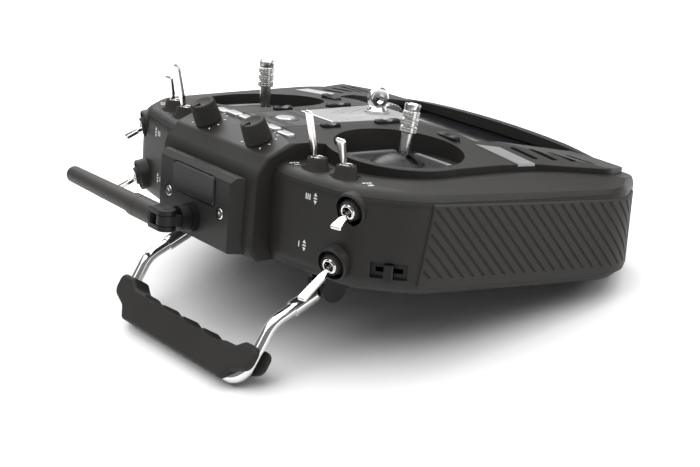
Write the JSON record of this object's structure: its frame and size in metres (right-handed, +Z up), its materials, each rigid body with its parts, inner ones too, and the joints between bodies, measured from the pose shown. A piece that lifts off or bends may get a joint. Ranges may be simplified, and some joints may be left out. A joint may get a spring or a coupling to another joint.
{
  "type": "radio transmitter controller",
  "caption": "Handheld two-stick radio transmitter for models, with toggle switches, dials, trims, folding antenna and a fold-out carrying handle it stands on.",
  "frame": {"origin": "middle of the object's footprint, on the surface it stands on", "axes": "+X to the user's right, +Y towards the antenna edge, +Z up; the face is tilted 17 degrees about X because the object stands on its handle and rear feet"},
  "size_m": [0.2876, 0.234, 0.1277],
  "materials": {
    "case_plastic": "fine spark-eroded grain, charcoal black",
    "panel_plastic": "smooth satin",
    "side_rubber": "raised diagonal ribs",
    "silver_trim": "bright brushed",
    "grille_plastic": "perforated",
    "silver_plate": "silver satin",
    "chrome": "polished",
    "display": "smoked glass over a dark display",
    "circuit_board": "green solder mask",
    "battery_wrap": "shrink wrap",
    "hard_plastic": "smooth black",
    "soft_rubber": "soft matte",
    "stick_metal": "turned and knurled",
    "lever_chrome": "satin chrome",
    "button_metal": "silver",
    "key_plastic": "smooth black"
  },
  "bodies": {
    "case": {"antenna_socket": "hard_plastic", "battery_door": "case_plastic", "battery_pack": "battery_wrap", "case_screws": "chrome", "centre_plate": "silver_plate", "circuit_boards": "circuit_board", "display_glass": "display", "face_plate": "case_plastic", "feet": "soft_rubber", "front_shell": "case_plastic", "gimbal_housings": "hard_plastic", "handle_brackets": "hard_plastic", "lanyard_hook": "chrome", "module_cover": "case_plastic", "module_panel": "panel_plastic", "rear_shell": "case_plastic", "side_grips": "side_rubber", "slider_bezels": "hard_plastic", "speaker_grille": "grille_plastic", "switch_boots": "soft_rubber", "switch_nuts": "chrome", "trim_strips": "silver_trim"},
    "mode_button_1": {"mode_button_1": "button_metal"},
    "mode_button_2": {"mode_button_2": "button_metal"},
    "mode_button_3": {"mode_button_3": "button_metal"},
    "mode_button_4": {"mode_button_4": "button_metal"},
    "mode_button_5": {"mode_button_5": "button_metal"},
    "mode_button_6": {"mode_button_6": "button_metal"},
    "power_button": {"power_button": "button_metal"},
    "key_system": {"key_system": "key_plastic"},
    "key_model": {"key_model": "key_plastic"},
    "key_return": {"key_return": "key_plastic"},
    "key_page": {"key_page": "key_plastic"},
    "trim_left_horizontal": {"trim_left_horizontal": "key_plastic"},
    "trim_right_horizontal": {"trim_right_horizontal": "key_plastic"},
    "trim_left_vertical": {"trim_left_vertical": "key_plastic"},
    "trim_right_vertical": {"trim_right_vertical": "key_plastic"},
    "trim_left_aux": {"trim_left_aux": "key_plastic"},
    "trim_right_aux": {"trim_right_aux": "key_plastic"},
    "lever_left_inner": {"lever_left_inner": "lever_chrome"},
    "lever_left_outer": {"lever_left_outer": "lever_chrome"},
    "lever_left_shoulder_short": {"lever_left_shoulder_short": "lever_chrome"},
    "lever_left_shoulder_long": {"lever_left_shoulder_long": "lever_chrome"},
    "yoke_left": {"yoke_left": "hard_plastic"},
    "stick_left": {"stick_left": "stick_metal"},
    "knob_left": {"knob_left": "soft_rubber"},
    "slider_left": {"slider_left": "key_plastic"},
    "lever_right_inner": {"lever_right_inner": "lever_chrome"},
    "lever_right_outer": {"lever_right_outer": "lever_chrome"},
    "lever_right_shoulder_short": {"lever_right_shoulder_short": "lever_chrome"},
    "lever_right_shoulder_long": {"lever_right_shoulder_long": "lever_chrome"},
    "yoke_right": {"yoke_right": "hard_plastic"},
    "stick_right": {"stick_right": "stick_metal"},
    "knob_right": {"knob_right": "soft_rubber"},
    "slider_right": {"slider_right": "key_plastic"},
    "scroll_wheel": {"scroll_wheel": "button_metal"},
    "handle": {"handle_rod": "chrome", "handle_grip": "soft_rubber"},
    "antenna_base": {"antenna_base": "hard_plastic"},
    "antenna_mast": {"antenna_mast": "hard_plastic"}
  },
  "joints": [
    {"name": "mode_button_1_press", "type": "slide", "parent": "case", "child": "mode_button_1", "axis": [0, 0.2882, -0.9576], "range_m": [0, 0.001], "stiffness_N_per_m": 900, "springref_m": -0.0008},
    {"name": "mode_button_2_press", "type": "slide", "parent": "case", "child": "mode_button_2", "axis": [0, 0.2882, -0.9576], "range_m": [0, 0.001], "stiffness_N_per_m": 900, "springref_m": -0.0008},
    {"name": "mode_button_3_press", "type": "slide", "parent": "case", "child": "mode_button_3", "axis": [0, 0.2882, -0.9576], "range_m": [0, 0.001], "stiffness_N_per_m": 900, "springref_m": -0.0008},
    {"name": "mode_button_4_press", "type": "slide", "parent": "case", "child": "mode_button_4", "axis": [0, 0.2882, -0.9576], "range_m": [0, 0.001], "stiffness_N_per_m": 900, "springref_m": -0.0008},
    {"name": "mode_button_5_press", "type": "slide", "parent": "case", "child": "mode_button_5", "axis": [0, 0.2882, -0.9576], "range_m": [0, 0.001], "stiffness_N_per_m": 900, "springref_m": -0.0008},
    {"name": "mode_button_6_press", "type": "slide", "parent": "case", "child": "mode_button_6", "axis": [0, 0.2882, -0.9576], "range_m": [0, 0.001], "stiffness_N_per_m": 900, "springref_m": -0.0008},
    {"name": "power_press", "type": "slide", "parent": "case", "child": "power_button", "axis": [0, 0.2882, -0.9576], "range_m": [0, 0.001], "stiffness_N_per_m": 900, "springref_m": -0.0008},
    {"name": "key_system_press", "type": "slide", "parent": "case", "child": "key_system", "axis": [0, 0.2882, -0.9576], "range_m": [0, 0.001], "stiffness_N_per_m": 900, "springref_m": -0.0008},
    {"name": "key_model_press", "type": "slide", "parent": "case", "child": "key_model", "axis": [0, 0.2882, -0.9576], "range_m": [0, 0.001], "stiffness_N_per_m": 900, "springref_m": -0.0008},
    {"name": "key_return_press", "type": "slide", "parent": "case", "child": "key_return", "axis": [0, 0.2882, -0.9576], "range_m": [0, 0.001], "stiffness_N_per_m": 900, "springref_m": -0.0008},
    {"name": "key_page_press", "type": "slide", "parent": "case", "child": "key_page", "axis": [0, 0.2882, -0.9576], "range_m": [0, 0.001], "stiffness_N_per_m": 900, "springref_m": -0.0008},
    {"name": "trim_left_horizontal_rock", "type": "hinge", "parent": "case", "child": "trim_left_horizontal", "pos_m": [-0.0544, -0.04103, 0.07597], "axis": [0, 0.9576, 0.2882], "range_deg": [-1.5, 1.5], "stiffness_Nm_per_rad": 0.4},
    {"name": "trim_right_horizontal_rock", "type": "hinge", "parent": "case", "child": "trim_right_horizontal", "pos_m": [0.0544, -0.04103, 0.07597], "axis": [0, 0.9576, 0.2882], "range_deg": [-1.5, 1.5], "stiffness_Nm_per_rad": 0.4},
    {"name": "trim_left_vertical_rock", "type": "hinge", "parent": "case", "child": "trim_left_vertical", "pos_m": [-0.0228, -0.02524, 0.08355], "axis": [1, 0, 0], "range_deg": [-1.5, 1.5], "stiffness_Nm_per_rad": 0.4},
    {"name": "trim_right_vertical_rock", "type": "hinge", "parent": "case", "child": "trim_right_vertical", "pos_m": [0.0228, -0.02524, 0.08355], "axis": [1, 0, 0], "range_deg": [-1.5, 1.5], "stiffness_Nm_per_rad": 0.4},
    {"name": "trim_left_aux_rock", "type": "hinge", "parent": "case", "child": "trim_left_aux", "pos_m": [-0.0228, 0.0098, 0.0941], "axis": [1, 0, 0], "range_deg": [-1.5, 1.5], "stiffness_Nm_per_rad": 0.4},
    {"name": "trim_right_aux_rock", "type": "hinge", "parent": "case", "child": "trim_right_aux", "pos_m": [0.0228, 0.0098, 0.0941], "axis": [1, 0, 0], "range_deg": [-1.5, 1.5], "stiffness_Nm_per_rad": 0.4},
    {"name": "lever_left_inner_flick", "type": "hinge", "parent": "case", "child": "lever_left_inner", "pos_m": [-0.0646, 0.04645, 0.09726], "axis": [1, 0, 0], "range_deg": [0, 27]},
    {"name": "lever_left_outer_flick", "type": "hinge", "parent": "case", "child": "lever_left_outer", "pos_m": [-0.0836, 0.04262, 0.09611], "axis": [1, 0, 0], "range_deg": [0, 27]},
    {"name": "lever_left_shoulder_short_flick", "type": "hinge", "parent": "case", "child": "lever_left_shoulder_short", "pos_m": [-0.0999, 0.0504, 0.08759], "axis": [-0.9507, -0.2969, -0.0893], "range_deg": [-27, 0]},
    {"name": "lever_left_shoulder_long_flick", "type": "hinge", "parent": "case", "child": "lever_left_shoulder_long", "pos_m": [-0.0953, 0.06331, 0.06276], "axis": [-0.9507, -0.2969, -0.0893], "range_deg": [-27, 0]},
    {"name": "yoke_left_pitch", "type": "hinge", "parent": "case", "child": "yoke_left", "pos_m": [-0.0637, 0.00246, 0.06784], "axis": [1, 0, 0], "range_deg": [-33.5, 16.5]},
    {"name": "stick_left_roll", "type": "hinge", "parent": "yoke_left", "child": "stick_left", "pos_m": [-0.0637, 0.00246, 0.06784], "axis": [0, 0.9045, 0.4266], "range_deg": [-25, 25], "stiffness_Nm_per_rad": 0.08},
    {"name": "knob_left_turn", "type": "hinge", "parent": "case", "child": "knob_left", "pos_m": [-0.0248, 0.05303, 0.10628], "axis": [0, 0.1374, 0.9905], "range_deg": [-150, 150]},
    {"name": "slider_left_travel", "type": "slide", "parent": "case", "child": "slider_left", "axis": [0.7121, 0.6723, 0.2023], "range_m": [-0.005, 0.005]},
    {"name": "lever_right_inner_flick", "type": "hinge", "parent": "case", "child": "lever_right_inner", "pos_m": [0.0646, 0.04645, 0.09726], "axis": [1, 0, 0], "range_deg": [0, 27]},
    {"name": "lever_right_outer_flick", "type": "hinge", "parent": "case", "child": "lever_right_outer", "pos_m": [0.0836, 0.04262, 0.09611], "axis": [1, 0, 0], "range_deg": [0, 27]},
    {"name": "lever_right_shoulder_short_flick", "type": "hinge", "parent": "case", "child": "lever_right_shoulder_short", "pos_m": [0.0999, 0.0504, 0.08759], "axis": [-0.9507, 0.2969, 0.0893], "range_deg": [-27, 0]},
    {"name": "lever_right_shoulder_long_flick", "type": "hinge", "parent": "case", "child": "lever_right_shoulder_long", "pos_m": [0.0953, 0.06331, 0.06276], "axis": [-0.9507, 0.2969, 0.0893], "range_deg": [-27, 0]},
    {"name": "yoke_right_pitch", "type": "hinge", "parent": "case", "child": "yoke_right", "pos_m": [0.0637, 0.00246, 0.06784], "axis": [1, 0, 0], "range_deg": [-25, 25], "stiffness_Nm_per_rad": 0.08},
    {"name": "stick_right_roll", "type": "hinge", "parent": "yoke_right", "child": "stick_right", "pos_m": [0.0637, 0.00246, 0.06784], "axis": [0, 0.9576, 0.2882], "range_deg": [-25, 25], "stiffness_Nm_per_rad": 0.08},
    {"name": "knob_right_turn", "type": "hinge", "parent": "case", "child": "knob_right", "pos_m": [0.0248, 0.05303, 0.10628], "axis": [0, 0.1374, 0.9905], "range_deg": [-150, 150]},
    {"name": "slider_right_travel", "type": "slide", "parent": "case", "child": "slider_right", "axis": [-0.7121, 0.6723, 0.2023], "range_m": [-0.005, 0.005]},
    {"name": "scroll_wheel_turn", "type": "hinge", "parent": "case", "child": "scroll_wheel", "pos_m": [0.061, -0.08244, 0.05153], "axis": [1, 0, 0], "continuous": true},
    {"name": "handle_swing", "type": "hinge", "parent": "case", "child": "handle", "pos_m": [0, 0.05333, 0.03553], "axis": [1, 0, 0], "range_deg": [-100, 35]},
    {"name": "antenna_swivel", "type": "hinge", "parent": "case", "child": "antenna_base", "pos_m": [0, 0.08924, 0.07098], "axis": [0, 0.9576, 0.2882], "range_deg": [-180, 0]},
    {"name": "antenna_fold", "type": "hinge", "parent": "antenna_base", "child": "antenna_mast", "pos_m": [0, 0.10168, 0.07473], "axis": [0, -0.2882, 0.9576], "range_deg": [0, 90]}
  ]
}
